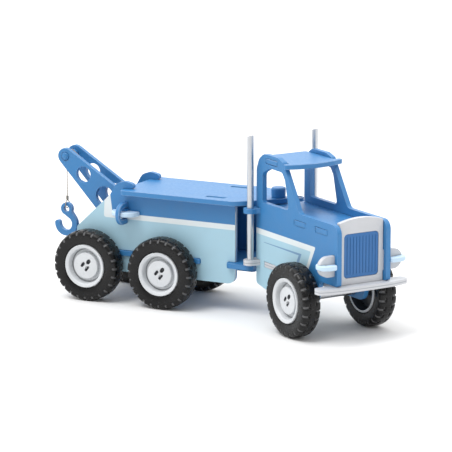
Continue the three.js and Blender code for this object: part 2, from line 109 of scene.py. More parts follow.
def link(name, mesh, material, smooth=True):
    piece = bpy.data.objects.new(name, mesh)
    bpy.context.scene.collection.objects.link(piece)
    mesh.materials.clear()
    mesh.materials.append(material)
    if smooth:
        mesh.shade_smooth()
        weighted = piece.modifiers.new("weighted_normal", "WEIGHTED_NORMAL")
        weighted.keep_sharp = True
    return piece


def stand_for(piece, node, body):
    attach(piece, body)
    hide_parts(node)
    return piece


def mesh_of(name, points, faces):
    mesh = bpy.data.meshes.new(name)
    mesh.from_pydata(points, [], faces)
    mesh.update()
    return mesh


def grid_faces(rows, columns, wrap_rows, wrap_columns):
    """Quads of a grid of points stored row by row, closed round either way if asked."""
    faces = []
    for i in range(rows if wrap_rows else rows - 1):
        for j in range(columns if wrap_columns else columns - 1):
            a, b = i * columns + j, i * columns + (j + 1) % columns
            shift = ((i + 1) % rows) * columns
            faces.append((a, b, shift + (j + 1) % columns, shift + j))
    return faces


def soften(corners, steps=4):
    """Points of a profile whose corners [r, h, radius] are rounded. The ends stay as they are."""
    points = []
    for i, (x, y, radius) in enumerate(corners):
        here = Vector((x, y))
        if radius == 0 or i in (0, len(corners) - 1):
            points.append(here)
            continue
        before = (Vector(corners[i - 1][:2]) - here).normalized()
        after = (Vector(corners[i + 1][:2]) - here).normalized()
        start, end = here + before * radius, here + after * radius
        for k in range(steps + 1):
            t = k / steps
            points.append(start * (1 - t) ** 2 + here * 2 * t * (1 - t) + end * t ** 2)
    return points


def turned(name, corners, material, axis, centre, segments=64):
    """A solid of revolution from a profile of [radius, height, corner radius] along its axis."""
    profile = soften(corners)
    turn = Vector(axis).to_track_quat("Z", "Y").to_matrix().to_4x4()
    bm = bmesh.new()
    rings = []
    for point in profile:
        r, h = point.x * MM, point.y * MM
        if r < 1e-7:
            rings.append([bm.verts.new((0, 0, h))])
            continue
        angles = [2 * math.pi * k / segments for k in range(segments)]
        rings.append([bm.verts.new((r * math.cos(a), r * math.sin(a), h)) for a in angles])
    for lower, upper in zip(rings, rings[1:]):
        for k in range(segments):
            n = (k + 1) % segments
            ring = [
                lower[k % len(lower)], lower[n % len(lower)],
                upper[n % len(upper)], upper[k % len(upper)],
            ]
            corners_of_face = list(dict.fromkeys(ring))
            if len(corners_of_face) > 2:
                bm.faces.new(corners_of_face)
    bmesh.ops.remove_doubles(bm, verts=bm.verts, dist=1e-6)
    bmesh.ops.recalc_face_normals(bm, faces=bm.faces)
    bmesh.ops.transform(bm, matrix=Matrix.Translation(centre) @ turn, verts=bm.verts)
    mesh = bpy.data.meshes.new(name)
    bm.to_mesh(mesh)
    bm.free()
    return link(name, mesh, material)


SHARP = math.radians(30)
ROUND = 1.35 * MM               # most rounding of a plate's rim, which soft_plate may cut back
TAB_ROUND = 0.8 * MM            # the same on plates whose tabs show at the side panels
SLOT_ROUND = 0.75 * MM          # the same on a slot's rim, cut back to about 0.12 mm in the cab panels
SLOT_CORNER = 1.6 * MM          # radius of a slot's corners
SLOT_EDGES = 12                 # sharp edges of a rectangular slot
WELD = 2e-6                     # vertices nearer than this are one


def sharp_groups(bm):
    """The sharp edges, in groups that share vertices."""
    left = {edge for edge in bm.edges if edge.is_manifold and edge.calc_face_angle(0) > SHARP}
    groups = []
    while left:
        group, front = set(), [left.pop()]
        while front:
            edge = front.pop()
            group.add(edge)
            near = {other for vert in edge.verts for other in vert.link_edges if other in left}
            left -= near
            front.extend(near)
        groups.append(group)
    return groups


def soft_plate(node, material, rim=ROUND):
    """A copy of a CAD plate with round rims and slot corners. The attribute crest is 1
    along the rims, where satin paints a highlight, and gap is 1 inside the slots, where it paints
    shade.

    Bevels stop before they overlap, so short edges cut a whole plate's rounding back: to about
    0.5 mm on the deck, and to less than 0.1 mm on the bumper, grille, hook and side and cab panels."""
    bm = bmesh.new()
    bm.from_mesh(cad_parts[node].data)
    bmesh.ops.remove_doubles(bm, verts=bm.verts, dist=WELD)
    bmesh.ops.dissolve_limit(bm, angle_limit=math.radians(1), verts=bm.verts, edges=bm.edges)
    normal = max(bm.faces, key=lambda face: face.calc_area()).normal.copy()
    slot_corners, slot_rims, rims = [], [], []
    for group in sharp_groups(bm):
        a_slot = len(group) == SLOT_EDGES
        for edge in group:
            through = abs((edge.verts[1].co - edge.verts[0].co).normalized().dot(normal)) > 0.9
            if a_slot:
                (slot_corners if through else slot_rims).append(edge)
            elif not through or edge.is_convex:
                rims.append(edge)
    bent, in_slots = set(), set()
    for edges, width, segments in (
        (slot_corners, SLOT_CORNER, 4), (slot_rims, SLOT_ROUND, 2), (rims, rim, 4),
    ):
        live = [edge for edge in edges if edge.is_valid]
        if live:
            made = bmesh.ops.bevel(
                bm, geom=live, offset=width, segments=segments, profile=0.5, affect="EDGES",
                clamp_overlap=True, miter_outer="SHARP", miter_inner="SHARP",
            )
            bent = set(made["faces"])
            if edges is not rims:
                in_slots.update(vert for face in bent for vert in face.verts)
    crest = bm.verts.layers.float.new("crest")
    for vert in bm.verts:
        vert[crest] = 1 if all(face in bent for face in vert.link_faces) else 0
    gap = bm.faces.layers.float.new("gap")
    for face in bm.faces:
        face[gap] = 1 if all(vert in in_slots for vert in face.verts) else 0
    mesh = bpy.data.meshes.new(node + "_shape")
    bm.to_mesh(mesh)
    bm.free()
    return link(node + "_shape", mesh, material)


# --- materials -------------------------------------------------------------------------------

class Net:
    """One material's nodes. Places are the piece's own coordinates.

    They are the frame's at rest on every piece but the wheels', which are drawn at the origin."""

    def __init__(self, name):
        self.material = bpy.data.materials.new(name)
        self.material.use_nodes = True
        self.tree = self.material.node_tree
        self.shader = self.tree.nodes["Principled BSDF"]
        self.place = self.add("ShaderNodeTexCoord").outputs["Object"]

    def add(self, kind, inputs=(), **settings):
        node = self.tree.nodes.new(kind)
        for key, value in settings.items():
            setattr(node, key, value)
        for key, value in dict(inputs).items():
            self.feed(node.inputs[key], value)
        return node

    def feed(self, socket, value):
        if isinstance(value, bpy.types.NodeSocket):
            self.tree.links.new(value, socket)
        else:
            socket.default_value = value

    def math(self, operation, *values):
        node = self.add("ShaderNodeMath", enumerate(values), operation=operation)
        return node.outputs[0]

    def noise(self, scale, detail=3, place=None):
        inputs = {"Vector": place or self.place, "Scale": scale, "Detail": detail}
        return self.add("ShaderNodeTexNoise", inputs).outputs[0]

    def stretched(self, x, y, z):
        node = self.add("ShaderNodeMapping", {"Vector": self.place, "Scale": (x, y, z)})
        return node.outputs[0]

    def along_axis(self, vector, axis):
        """One coordinate of a vector, 0 for x to 2 for z."""
        return self.add("ShaderNodeSeparateXYZ", {0: vector}).outputs[axis]

    def spread(self, value, low, high, to_low=0, to_high=1):
        """The value's way from low to high, as a number between to_low and to_high."""
        node = self.add("ShaderNodeMapRange", {0: value, 1: low, 2: high, 3: to_low, 4: to_high})
        return node.outputs[0]

    def mix(self, factor, first, second):
        node = self.add("ShaderNodeMix", {0: factor, 6: first, 7: second}, data_type="RGBA")
        return node.outputs[2]

    def finish(self, colour, roughness, bump, **constants):
        """Links colour, roughness and a bump height in millimetres to the shader."""
        self.feed(self.shader.inputs["Base Color"], colour)
        self.feed(self.shader.inputs["Roughness"], roughness)
        relief = self.add("ShaderNodeBump", {"Height": bump, "Distance": MM, "Strength": 1})
        self.feed(self.shader.inputs["Normal"], relief.outputs[0])
        for key, value in constants.items():
            self.shader.inputs[key.replace("_", " ")].default_value = value
        return self.material


def rgb(red, green, blue):
    """A colour given as on screen, from 0 to 255, in linear light."""
    def linear(v):
        v = v / 255
        return v / 12.92 if v <= 0.04045 else ((v + 0.055) / 1.055) ** 2.4
    return (linear(red), linear(green), linear(blue), 1)


def shade(colour, share):
    return tuple(min(1, c * share) for c in colour[:3]) + (1,)


BLUE = rgb(50, 121, 178)
PALE_BLUE = rgb(163, 200, 216)
ICE = rgb(190, 216, 236)
SLATE = rgb(108, 148, 184)
STRIPE = rgb(218, 226, 228)
SILVER = rgb(198, 200, 204)
GRILLE_BLUE = rgb(38, 104, 166)
WHITE = rgb(206, 209, 212)
PRIMER = rgb(176, 196, 206)     # the bare edge of a painted panel
SLOT_SHADE = rgb(16, 34, 62)           # painted shade inside a slot
RIM_HIGHLIGHT = (0.80, 0.86, 0.92, 1)  # painted highlight along a plate's rims


def satin(net, colour, gloss=0.42):
    """Sprayed satin paint: faint mottling, a painted highlight along the rims, painted shade inside the
    slots, and a fine orange peel.
    """
    mottle = net.spread(net.noise(70, 4), 0.3, 0.7)
    tint = net.add("ShaderNodeHueSaturation", {"Saturation": 0.98, "Value": 0.965, "Color": colour})
    tone = net.mix(mottle, tint.outputs[0], colour)
    # painted highlight: the rims are lightened in noisy patches
    crest = net.add("ShaderNodeAttribute", attribute_name="crest").outputs["Fac"]
    patch = net.spread(net.noise(240, 2), 0.35, 0.65, 0.08, 0.2)
    tone = net.mix(net.math("MULTIPLY", crest, patch), tone, RIM_HIGHLIGHT)
    # painted shade: faces inside the slots are darkened
    gap = net.add("ShaderNodeAttribute", attribute_name="gap").outputs["Fac"]
    tone = net.mix(net.math("MULTIPLY", gap, 0.9), tone, SLOT_SHADE)
    rough = net.spread(net.noise(420, 3), 0.3, 0.7, gloss - 0.04, gloss + 0.05)
    peel = net.math("MULTIPLY", net.noise(900, 2), 0.006)
    return net.finish(tone, rough, peel)


def plain_paint(name, colour, gloss=0.42):
    return satin(Net(name), colour, gloss)


def far_side(net, across, up, points, smooth=0.0):
    """Distance in millimetres beyond the sides of a convex outline, listed anticlockwise."""
    worst = None
    for (x0, z0), (x1, z1) in zip(points, points[1:] + points[:1]):
        edge = Vector((x1 - x0, z1 - z0)).normalized()
        out = Vector((edge.y, -edge.x))
        along = net.math("MULTIPLY_ADD", across, out.x, -out.dot(Vector((x0, z0))))
        beyond = net.math("MULTIPLY_ADD", up, out.y, along)
        if worst is None:
            worst = beyond
        elif smooth:
            worst = net.math("SMOOTH_MAX", worst, beyond, smooth)
        else:
            worst = net.math("MAXIMUM", worst, beyond)
    return worst


def inside(net, across, up, points, smooth=0.0):
    """1 inside a convex outline and 0 outside it."""
    return net.spread(far_side(net, across, up, points, smooth), 0.12, -0.12)


def panel_place(net, origin, along):
    """Millimetres along and up a side panel."""
    inputs = {0: net.place, 1: tuple(along / MM)}
    scaled = net.add("ShaderNodeVectorMath", inputs, operation="DOT_PRODUCT")
    across = net.math("SUBTRACT", scaled.outputs["Value"], origin.dot(along) / MM)
    return across, net.math("MULTIPLY", net.along_axis(net.place, 2), 1 / MM)


FAR = 400                       # past any panel, for outlines that run off it
OVER = 200                      # above any panel
STRIPE_TOP = 86.4               # of the pale stripe, on the rear body and the cab
REAR_STRIPE_FOOT, CAB_STRIPE_FOOT = 81.1, 80.9
HORN_FOOT = 98                  # height over which a panel's edge is painted blue too
PANEL_INSIDE = 27               # from the truck's middle to the rear panels' inner faces


def rear_panel_paint():
    """Pale blue, with a blue band along the top and a pale stripe under it and up behind it.

    The inner face is blue, and the lower edge is bare."""
    net = Net("rear_panel_paint")
    across, up = panel_place(net, REAR_AXLE, Vector((1, 0, 0)))
    band = inside(net, across, up, [(19.9, STRIPE_TOP), (FAR, STRIPE_TOP), (FAR, OVER), (4.5, OVER)])
    outline = [(10.2, REAR_STRIPE_FOOT), (FAR, REAR_STRIPE_FOOT), (FAR, OVER), (16.9, OVER)]
    stripe = inside(net, across, up, outline, 5)
    colour = net.mix(stripe, PALE_BLUE, STRIPE)
    colour = net.mix(band, colour, BLUE)
    facing = net.add("ShaderNodeTexCoord").outputs["Normal"]
    sideways = net.math("ABSOLUTE", net.along_axis(facing, 1))
    lower = net.spread(up, HORN_FOOT + 2, HORN_FOOT - 2)
    out = net.math("MULTIPLY_ADD", net.along_axis(net.place, 1), 1 / MM, -REAR_AXLE.y / MM)
    outside = net.spread(net.math("ABSOLUTE", out), PANEL_INSIDE - 0.2, PANEL_INSIDE + 0.2)
    edge = net.math("MULTIPLY", net.spread(sideways, 0.55, 0.35), lower)
    edge = net.math("MULTIPLY", edge, outside)
    colour = net.mix(outside, BLUE, colour)
    return satin(net, net.mix(edge, colour, PRIMER))


def cab_panel_paint():
    """A pale blue field inside a pale stripe that turns down in front, and a fender line."""
    net = Net("cab_panel_paint")
    across, up = panel_place(net, KINGPIN, ALONG_CAB)
    outline = [(-FAR, 0), (66, 0), (110.6, STRIPE_TOP), (-FAR, STRIPE_TOP)]
    stripe = inside(net, across, up, outline, 3.5)
    outline = [(-FAR, 0), (64.4, 0), (102.6, CAB_STRIPE_FOOT), (-FAR, CAB_STRIPE_FOOT)]
    field = inside(net, across, up, outline, 2.5)
    line = inside(net, across, up, [(20.6, 74.15), (84, 73.4), (85.6, 75.5), (20.6, 74.65)])
    leg = inside(net, across, up, [(77.6, 65), (81.6, 65), (86.9, 75.5), (83, 75.5)])
    colour = net.mix(stripe, BLUE, STRIPE)
    colour = net.mix(field, colour, PALE_BLUE)
    colour = net.mix(net.math("MAXIMUM", line, leg), colour, SLATE)
    return satin(net, colour)


def bumper_paint():
    """Silver, with a thin dark line painted round the middle of the plate's edge: painted shade that
    stands in for a groove there.
    """
    net = Net("bumper_paint")
    height = net.math("MULTIPLY", net.along_axis(net.place, 2), 1 / MM)
    away = net.math("ABSOLUTE", net.math("SUBTRACT", height, middle("bumper_plate").z / MM))
    # painted shade of a groove along the middle of the edge
    line = net.spread(away, 0.5, 0.25, 0, 0.6)
    return satin(net, net.mix(line, SILVER, rgb(120, 128, 138)), 0.34)


def wheel_plastic():
    """Moulded white plastic, with painted shade inside the cap's slots, in the groove round the cap and
    on the core of the rim's inner side, which the painted_shade attribute marks.
    """
    net = Net("white_plastic")
    mottle = net.spread(net.noise(110, 4), 0.3, 0.7)
    tone = net.mix(mottle, shade(WHITE, 0.96), WHITE)
    painted_shade = net.add("ShaderNodeAttribute", attribute_name="painted_shade").outputs["Fac"]
    # painted shade: darkened towards dark grey in the marked recesses
    tone = net.mix(painted_shade, tone, rgb(58, 62, 68))
    rough = net.spread(net.noise(300, 3), 0.3, 0.7, 0.26, 0.36)
    return net.finish(tone, rough, net.math("MULTIPLY", net.noise(800, 2), 0.006))


def metal(name, colour, gloss, grain):
    """Drawn metal, with fine lines along the given stretch of its own coordinates."""
    net = Net(name)
    lines = net.noise(1, 4, net.stretched(*grain))
    cloud = net.noise(90, 3)
    tone = net.mix(net.spread(lines, 0.3, 0.7), shade(colour, 0.86), colour)
    tone = net.mix(net.spread(cloud, 0.35, 0.75, 0, 0.25), tone, shade(colour, 0.75))
    rough = net.spread(lines, 0.3, 0.7, gloss - 0.05, gloss + 0.09)
    return net.finish(tone, rough, net.math("MULTIPLY", lines, 0.02), Metallic=1)


def tyre_rubber():
    """Black rubber, with a painted glint inside the shoulder notches, which the notch_glint attribute
    marks.
    """
    net = Net("tyre_rubber")
    dust = net.spread(net.noise(130, 5), 0.42, 0.72, 0, 0.45)
    tone = net.mix(dust, rgb(10, 10, 11), rgb(21, 21, 22))
    notch_glint = net.add("ShaderNodeAttribute", attribute_name="notch_glint").outputs["Fac"]
    # painted highlight: the notches are lightened as glints
    tone = net.mix(net.math("MULTIPLY", notch_glint, 0.4), tone, rgb(150, 150, 152))
    rough = net.spread(net.noise(300, 4), 0.3, 0.7, 0.24, 0.36)
    grain = net.math("MULTIPLY", net.noise(1400, 3), 0.01)
    return net.finish(tone, rough, grain, Specular_IOR_Level=0.3)


def twine_fibre():
    net = Net("twine_fibre")
    fibres = net.noise(1, 5, net.stretched(3200, 3200, 1400))
    tone = net.mix(net.spread(fibres, 0.3, 0.7), rgb(120, 104, 86), rgb(186, 170, 148))
    return net.finish(tone, 0.85, net.math("MULTIPLY", fibres, 0.12), Sheen_Weight=0.3)


blue = plain_paint("blue_paint", BLUE)
pale = plain_paint("pale_blue_paint", PALE_BLUE)
ice = plain_paint("ice_blue_paint", ICE)
grille_blue = plain_paint("grille_blue_paint", GRILLE_BLUE)
silver = plain_paint("silver_paint", SILVER, 0.36)
bumper_silver = bumper_paint()
wheel_white = wheel_plastic()
rear_paint = rear_panel_paint()
cab_paint = cab_panel_paint()
pipe_metal = metal("pipe_metal", rgb(206, 209, 213), 0.34, (2400, 2400, 60))
axle_metal = metal("axle_metal", rgb(178, 180, 184), 0.28, (1600, 90, 1600))
crimp_metal = metal("crimp_metal", rgb(168, 162, 152), 0.38, (2000, 2000, 300))
rubber = tyre_rubber()
twine = twine_fibre()


# --- line: a three-strand twine from the drum over the tip pin, down to the hook ------------

LINE_R = 0.5
LINE_ROUTE = [
    (40.59, 92.49), (42.27, 88.44), (41.32, 84.15), (38.09, 81.18), (33.73, 80.61), (30.44, 82.1),
    (16.52, 93.22), (2.59, 104.34), (-11.33, 115.47), (-25.26, 126.59), (-39.18, 137.71),
    (-41.01, 138.63), (-43.59, 138.63), (-45.84, 137.34), (-47, 135.51), (-47.3, 133.8),
]
LINE_X = LINE_ROUTE[-1][0]
FALL_TOP, FALL_FOOT = 133.5, 92.1
LOOP_Z, LOOP_R = 83.45, 3.75
STRAND_TURN = 3.0               # length of line in which the strands turn once
LINE_STEP = 0.35                # spacing of the line's rings
LOOP_STEPS = 66


def curve_through(points, steps=6):
    """Points of a smooth curve through the given ones, which it passes through."""
    found = []
    for i in range(len(points) - 1):
        before, start = points[max(i - 1, 0)], points[i]
        end, after = points[i + 1], points[min(i + 2, len(points) - 1)]
        for k in range(steps):
            t = k / steps
            found.append(0.5 * (
                2 * start + (end - before) * t + (2 * before - 5 * start + 4 * end - after) * t ** 2
                + (3 * start - 3 * end + after - before) * t ** 3
            ))
    return found + [points[-1]]


def resampled(points, spacing):
    """Points at an even spacing along a line of points, both ends kept."""
    lengths = [0]
    for a, b in zip(points, points[1:]):
        lengths.append(lengths[-1] + (b - a).length)
    count = max(2, round(lengths[-1] / spacing))
    found, i = [], 0
    for k in range(count + 1):
        along = lengths[-1] * k / count
        while i < len(points) - 2 and lengths[i + 1] < along:
            i += 1
        share = (along - lengths[i]) / (lengths[i + 1] - lengths[i])
        found.append(points[i].lerp(points[i + 1], share))
    return found


def length_of(points):
    return sum((b - a).length for a, b in zip(points, points[1:]))


def strand_tube(name, route, across, closed=False, sides=18):
    """A twisted cord along a flat route. across is the route's own flat side."""
    points, count = [], len(route)
    for i, here in enumerate(route):
        ahead = route[(i + 1) % count] if closed else route[min(i + 1, count - 1)]
        behind = route[i - 1] if closed or i else route[0]
        up = across.cross((ahead - behind).normalized())
        twist = 2 * math.pi * i * length_of(route) / (count - 1) / (STRAND_TURN * MM)
        for k in range(sides):
            angle = 2 * math.pi * k / sides
            r = LINE_R * MM * (0.88 + 0.12 * math.cos(3 * (angle - twist / 3)))
            points.append(here + (across * math.cos(angle) + up * math.sin(angle)) * r)
    faces = grid_faces(count, sides, closed, True)
    if not closed:
        faces += [tuple(reversed(range(sides))), tuple(range((count - 1) * sides, count * sides))]
    mesh = mesh_of(name, points, faces)
    bm = bmesh.new()
    bm.from_mesh(mesh)
    bmesh.ops.recalc_face_normals(bm, faces=bm.faces)
    bm.to_mesh(mesh)
    bm.free()
    return link(name, mesh, twine)


def make_line():
    sideways = Vector((0, 1, 0))
    route = curve_through([in_rear(x, 0, z) for x, z in LINE_ROUTE])
    route = resampled(route, LINE_STEP * MM)
    inboard = strand_tube("line_inboard_twine", route, sideways)
    stand_for(inboard, "line_inboard", "rear_body")
    drop = [in_rear(LINE_X, 0, FALL_TOP), in_rear(LINE_X, 0, FALL_FOOT)]
    drop = resampled(drop, LINE_STEP * MM)
    fall = strand_tube("line_fall_twine", drop, sideways)
    stand_for(fall, "line_fall", "hook_line")
    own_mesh(fall)
    ring = [
        in_rear(LINE_X, LOOP_R * math.sin(a), LOOP_Z + LOOP_R * math.cos(a))
        for a in (2 * math.pi * k / LOOP_STEPS for k in range(LOOP_STEPS))
    ]
    loop = strand_tube("line_loop_twine", ring, Vector((1, 0, 0)), closed=True)
    stand_for(loop, "line_loop", "hook")
    sleeve = [
        (0, 87.8, 0), (1.5, 87.8, 0.3), (1.35, 89, 0.2), (1.5, 90, 0.2), (1.3, 91.8, 0.3), (0, 91.8, 0),
    ]
    crimp = turned("line_crimp_sleeve", sleeve, crimp_metal, (0, 0, 1), in_rear(LINE_X, 0, 0), 32)
    stand_for(crimp, "line_crimp", "hook")


make_line()


# --- plates ----------------------------------------------------------------------------------

def make_plates():
    rows = [
        ("side_panel", "rear_body", "rear_panel_paint", rear_paint),
        ("boom_arm", "rear_body", "blue_plate", blue),
        ("crank_plate", "winch", "blue_plate", blue),
        ("crank_disc", "winch", "light_blue_plate", ice),
        ("cab_panel", "cab", "cab_panel_paint", cab_paint),
        ("headlight_disc", "cab", "light_blue_plate", ice),
    ]
    for name, body, slot, material in rows:
        for side, _ in SIDES:
            node = f"{name}_{side}"
            stand_for(soft_plate(node, material), node, body)
    for node, body, slot, material, rim in (
        ("deck_plate", "rear_body", "blue_plate", blue, ROUND),
        ("chassis_plate", "rear_body", "blue_plate", blue, TAB_ROUND),
        ("tow_hook", "hook", "blue_plate", blue, ROUND),
        ("roof_plate", "cab", "blue_plate", blue, TAB_ROUND),
        ("hood_plate", "cab", "blue_plate", blue, TAB_ROUND),
        ("bumper_plate", "cab", "silver_plate", bumper_silver, ROUND),
        ("grille_plate", "cab", "silver_plate", silver, ROUND),
        ("grille_insert", "cab", "blue_plate", grille_blue, 0.28 * MM),
        ("steering_wheel", "steering", "blue_plate", blue, 0.7 * MM),
    ):
        stand_for(soft_plate(node, material, rim), node, body)


make_plates()


# --- pins, axles and pipes -------------------------------------------------------------------

KINGPIN_X = 184.8
TIP_PIN_X, TIP_PIN_Z = -42.3, 133.8
COLUMN_X = 31                   # steering column, in the cab's frame
AXLE_HALF, AXLE_R = 42.5, 3
STACK_X, STACK_Y = 7.3, 36      # exhausts, in the cab's frame
MOUTH_SLANT = 0.42              # rise of a pipe's mouth for each step forward


def make_pins():
    up, across = (0, 0, 1), (0, 1, 0)
    kingpin = in_rear(KINGPIN_X, 0, 0)
    pin = [
        (0, 41.5, 0), (6.5, 41.5, 0.8), (6.5, 44.7, 0.4), (4, 44.7, 0), (4, 117.2, 0.5), (0, 117.2, 0),
    ]
    piece = turned("kingpin_rod", pin, blue, up, kingpin)
    stand_for(piece, "kingpin", "rear_body")
    knob = [
        (0, 117.5, 0), (4.3, 117.5, 0), (4.3, 111.5, 0), (6.8, 111.5, 0.5), (7.1, 119.6, 0.9),
        (6.1, 121, 0.6), (0, 121.2, 0),
    ]
    piece = turned("kingpin_knob_cap", knob, blue, up, kingpin)
    stand_for(piece, "kingpin_knob", "rear_body")
    dome = [(0, -14, 0), (1.8, -13.8, 1), (3.4, -13.1, 0.9), (4.2, -12, 0.5)]
    dome += [(r, -h, radius) for r, h, radius in reversed(dome)]
    piece = turned("boom_tip_pin_rod", dome, blue, across, in_rear(TIP_PIN_X, 0, TIP_PIN_Z))
    stand_for(piece, "boom_tip_pin", "rear_body")
    bobbin = [(5.05, -6.9, 0), (6.5, -6.9, 0.4), (6.5, 6.9, 0.4), (5.05, 6.9, 0), (5.05, -6.9, 0)]
    piece = turned("winch_drum_bobbin", bobbin, pale, across, middle("winch_axle"))
    stand_for(piece, "winch_drum", "winch")
    stand_for(soft_plate("winch_axle", blue, 0.5 * MM), "winch_axle", "winch")
    column = [(0, 99.4, 0), (2.4, 99.4, 0.4), (2.4, 117, 0.6), (0, 117, 0)]
    piece = turned("steering_column_rod", column, blue, up, in_cab(COLUMN_X, 0, 0))
    stand_for(piece, "steering_column", "cab")
    rod = [(0, -AXLE_HALF, 0), (AXLE_R, -AXLE_HALF, 0.6), (AXLE_R, AXLE_HALF, 0.6), (0, AXLE_HALF, 0)]
    for place, body, axis in (
        ("rear", "rear_body", across), ("mid", "rear_body", across),
        ("front", "cab", (-ALONG_CAB.y, ALONG_CAB.x, 0)),
    ):
        piece = turned(f"axle_{place}_rod", rod, axle_metal, axis, middle(f"axle_{place}"), 40)
        stand_for(piece, f"axle_{place}", body)


def make_exhausts():
    """Open pipes with a slanted mouth, higher towards the front of the cab."""
    foot, top = 50.9, 174.6
    pipe = [(2.4, foot, 0), (3.2, foot, 0.2), (3.2, top, 0.25), (2.4, top, 0.25), (2.4, foot, 0)]
    for side, sign in SIDES:
        centre = in_cab(STACK_X, sign * STACK_Y, 0)
        piece = turned(f"exhaust_{side}_pipe", pipe, pipe_metal, (0, 0, 1), centre, 48)
        for vert in piece.data.vertices:
            if vert.co.z > (top - 5) * MM:
                vert.co.z += MOUTH_SLANT * (vert.co - centre).dot(ALONG_CAB)
        stand_for(piece, f"exhaust_{side}", "cab")


make_pins()
make_exhausts()


# --- wheels ----------------------------------------------------------------------------------

NOTCHES = 24                    # on each shoulder, the two rows half a step apart
TREAD_R = 35.0
RIB_HALF = 2.6                  # the plain rib round the tread's middle
CUT_FOOT_R = 30.6               # how far down a shoulder a notch runs
CUT_DEPTH = 1.35
NOTCH_HALF = 1.25               # half a notch's width
SLIT_OUT = 3.98                 # the slit beside the rib ends this far from the middle
SLIT_LENGTH = 3.7               # from a notch's middle
SLIT_SHARE = 0.8                # of a notch's depth
WHEEL_OUT = 42                  # from the truck's middle to a wheel's


def tyre_profile():
    """Across a tyre, (radius, distance from the tread's middle)."""
    half = [
        (35.0, 0.0), (35.0, 1.6), (34.98, 2.55), (34.97, 2.8), (34.95, 3.0), (34.93, 3.5),
        (34.9, 3.75), (34.87, 4.0), (34.8, 4.9), (34.65, 5.9), (34.35, 6.9), (33.9, 7.8),
        (33.2, 8.55), (32.4, 9.05), (31.5, 9.3), (30.4, 9.42), (28.6, 9.45), (26.4, 9.3),
        (24.2, 8.95), (22.6, 8.55), (21.8, 8.2),
    ]
    return [(r, -w) for r, w in reversed(half[1:])] + half


def ramp(value):
    return min(1, max(0, value))


def tread_depth(r, w, angle):
    """How deep the tread is cut, in millimetres, at a place on a tyre."""
    pitch = 2 * math.pi / NOTCHES
    shift = 0 if w > 0 else 0.5
    along = ((angle / pitch - shift + 0.5) % 1 - 0.5) * pitch * TREAD_R
    if w < 0:
        along = -along
    out = abs(w)
    ends = ramp((out - RIB_HALF) / 0.35) * ramp((r - CUT_FOOT_R) / 0.9)
    notch = ramp((NOTCH_HALF - abs(along)) / 0.3) * ends
    slit = 0
    if RIB_HALF < out < SLIT_OUT and along > 0:
        flat = min(1, (out - RIB_HALF) / 0.3, (SLIT_OUT - out) / 0.3)
        slit = flat * ramp((SLIT_LENGTH - along) / 0.3)
    return CUT_DEPTH * max(notch, SLIT_SHARE * slit)


def tyre_mesh():
    """A tyre about Z at the origin. The attribute notch_glint is how deep a place is cut, up to 1, and
    sets the painted glint in the notches.
    """
    pitch = 2 * math.pi / NOTCHES
    notch_marks = (-1.27, -0.95, 0, 0.95, 1.27)
    slit_marks = (2.4, 3.38, 3.72)
    half_pitch = TREAD_R * pitch / 2
    marks = [*notch_marks, *slit_marks]
    marks += [half_pitch + mark for mark in notch_marks]
    marks += [half_pitch - mark for mark in slit_marks]
    ticks = sorted({round(mark / TREAD_R, 6) for mark in marks})
    angles = [pitch * k + tick for k in range(NOTCHES) for tick in ticks]
    profile = tyre_profile()
    points, cuts = [], []
    for angle in angles:
        for r, w in profile:
            cut = tread_depth(r, w, angle)
            cuts.append(cut if abs(w) > 4 else 0)
            steep = ramp((TREAD_R - r) / 4)
            deep_r = r - cut * (1 - 0.6 * steep)
            deep_w = w - math.copysign(cut * 0.6 * steep, w)
            points.append(Vector((deep_r * math.cos(angle), deep_r * math.sin(angle), deep_w)) * MM)
    faces = grid_faces(len(angles), len(profile), True, True)
    mesh = mesh_of("tyre", points, faces)
    notch_glint = mesh.attributes.new("notch_glint", "FLOAT", "POINT")
    notch_glint.data.foreach_set("value", [min(1, cut) for cut in cuts])
    return mesh


def wheel_centre(place, sign):
    """A wheel's middle, and the direction its hub cap faces."""
    axis = Vector((-ALONG_CAB.y, ALONG_CAB.x, 0)) if place == "front" else Vector((0, 1, 0))
    return middle(f"axle_{place}") + axis * sign * WHEEL_OUT * MM, axis * sign


RIM = [
    (0, 0.8, 0), (3.3, 0.8, 0), (3.3, -11.8, 0.3), (6, -11.8, 0.5), (6.6, 0, 0.8), (17.8, 0, 0.8),
    (19.2, -9.3, 0.4), (21.3, -9.3, 0.5), (21.3, 8.9, 0.4), (20.8, 9.6, 0.5), (17.7, 8.4, 1),
    (16.4, 2.3, 0.8), (0, 2.3, 0),
]
CAP = [(0, 2.6, 0), (13.1, 2.6, 0.2), (13.3, 6, 0.6), (12.7, 6.6, 0.5), (7, 7, 2), (0, 7.1, 0)]
CAP_SLOTS = (                   # degrees round the cap, distance out, length and width
    (161, 2.9, 5.8, 2.7),
    (50, 5.5, 5.5, 3.8),
    (-56, 3.3, 6.3, 2.6),
)
SLOT_SLANT = math.radians(50)
SLOT_FLOOR = 4.4                # height of the slots' floors over the wheel's middle


def stadium(name, length, width, depth):
    """A rounded bar, for cutting a slot."""
    straight, r, points = (length - width) / 2, width / 2, []
    for end in (1, -1):
        for k in range(9):
            a = math.radians(-90 + 22.5 * k) + (0 if end > 0 else math.pi)
            points.append((end * straight + r * math.cos(a), r * math.sin(a)))
    count = len(points)
    verts = [Vector((x, y, z)) * MM for z in (0, depth) for x, y in points]
    faces = [tuple(reversed(range(count))), tuple(range(count, 2 * count))]
    faces += [(k, (k + 1) % count, count + (k + 1) % count, count + k) for k in range(count)]
    return mesh_of(name, verts, faces)


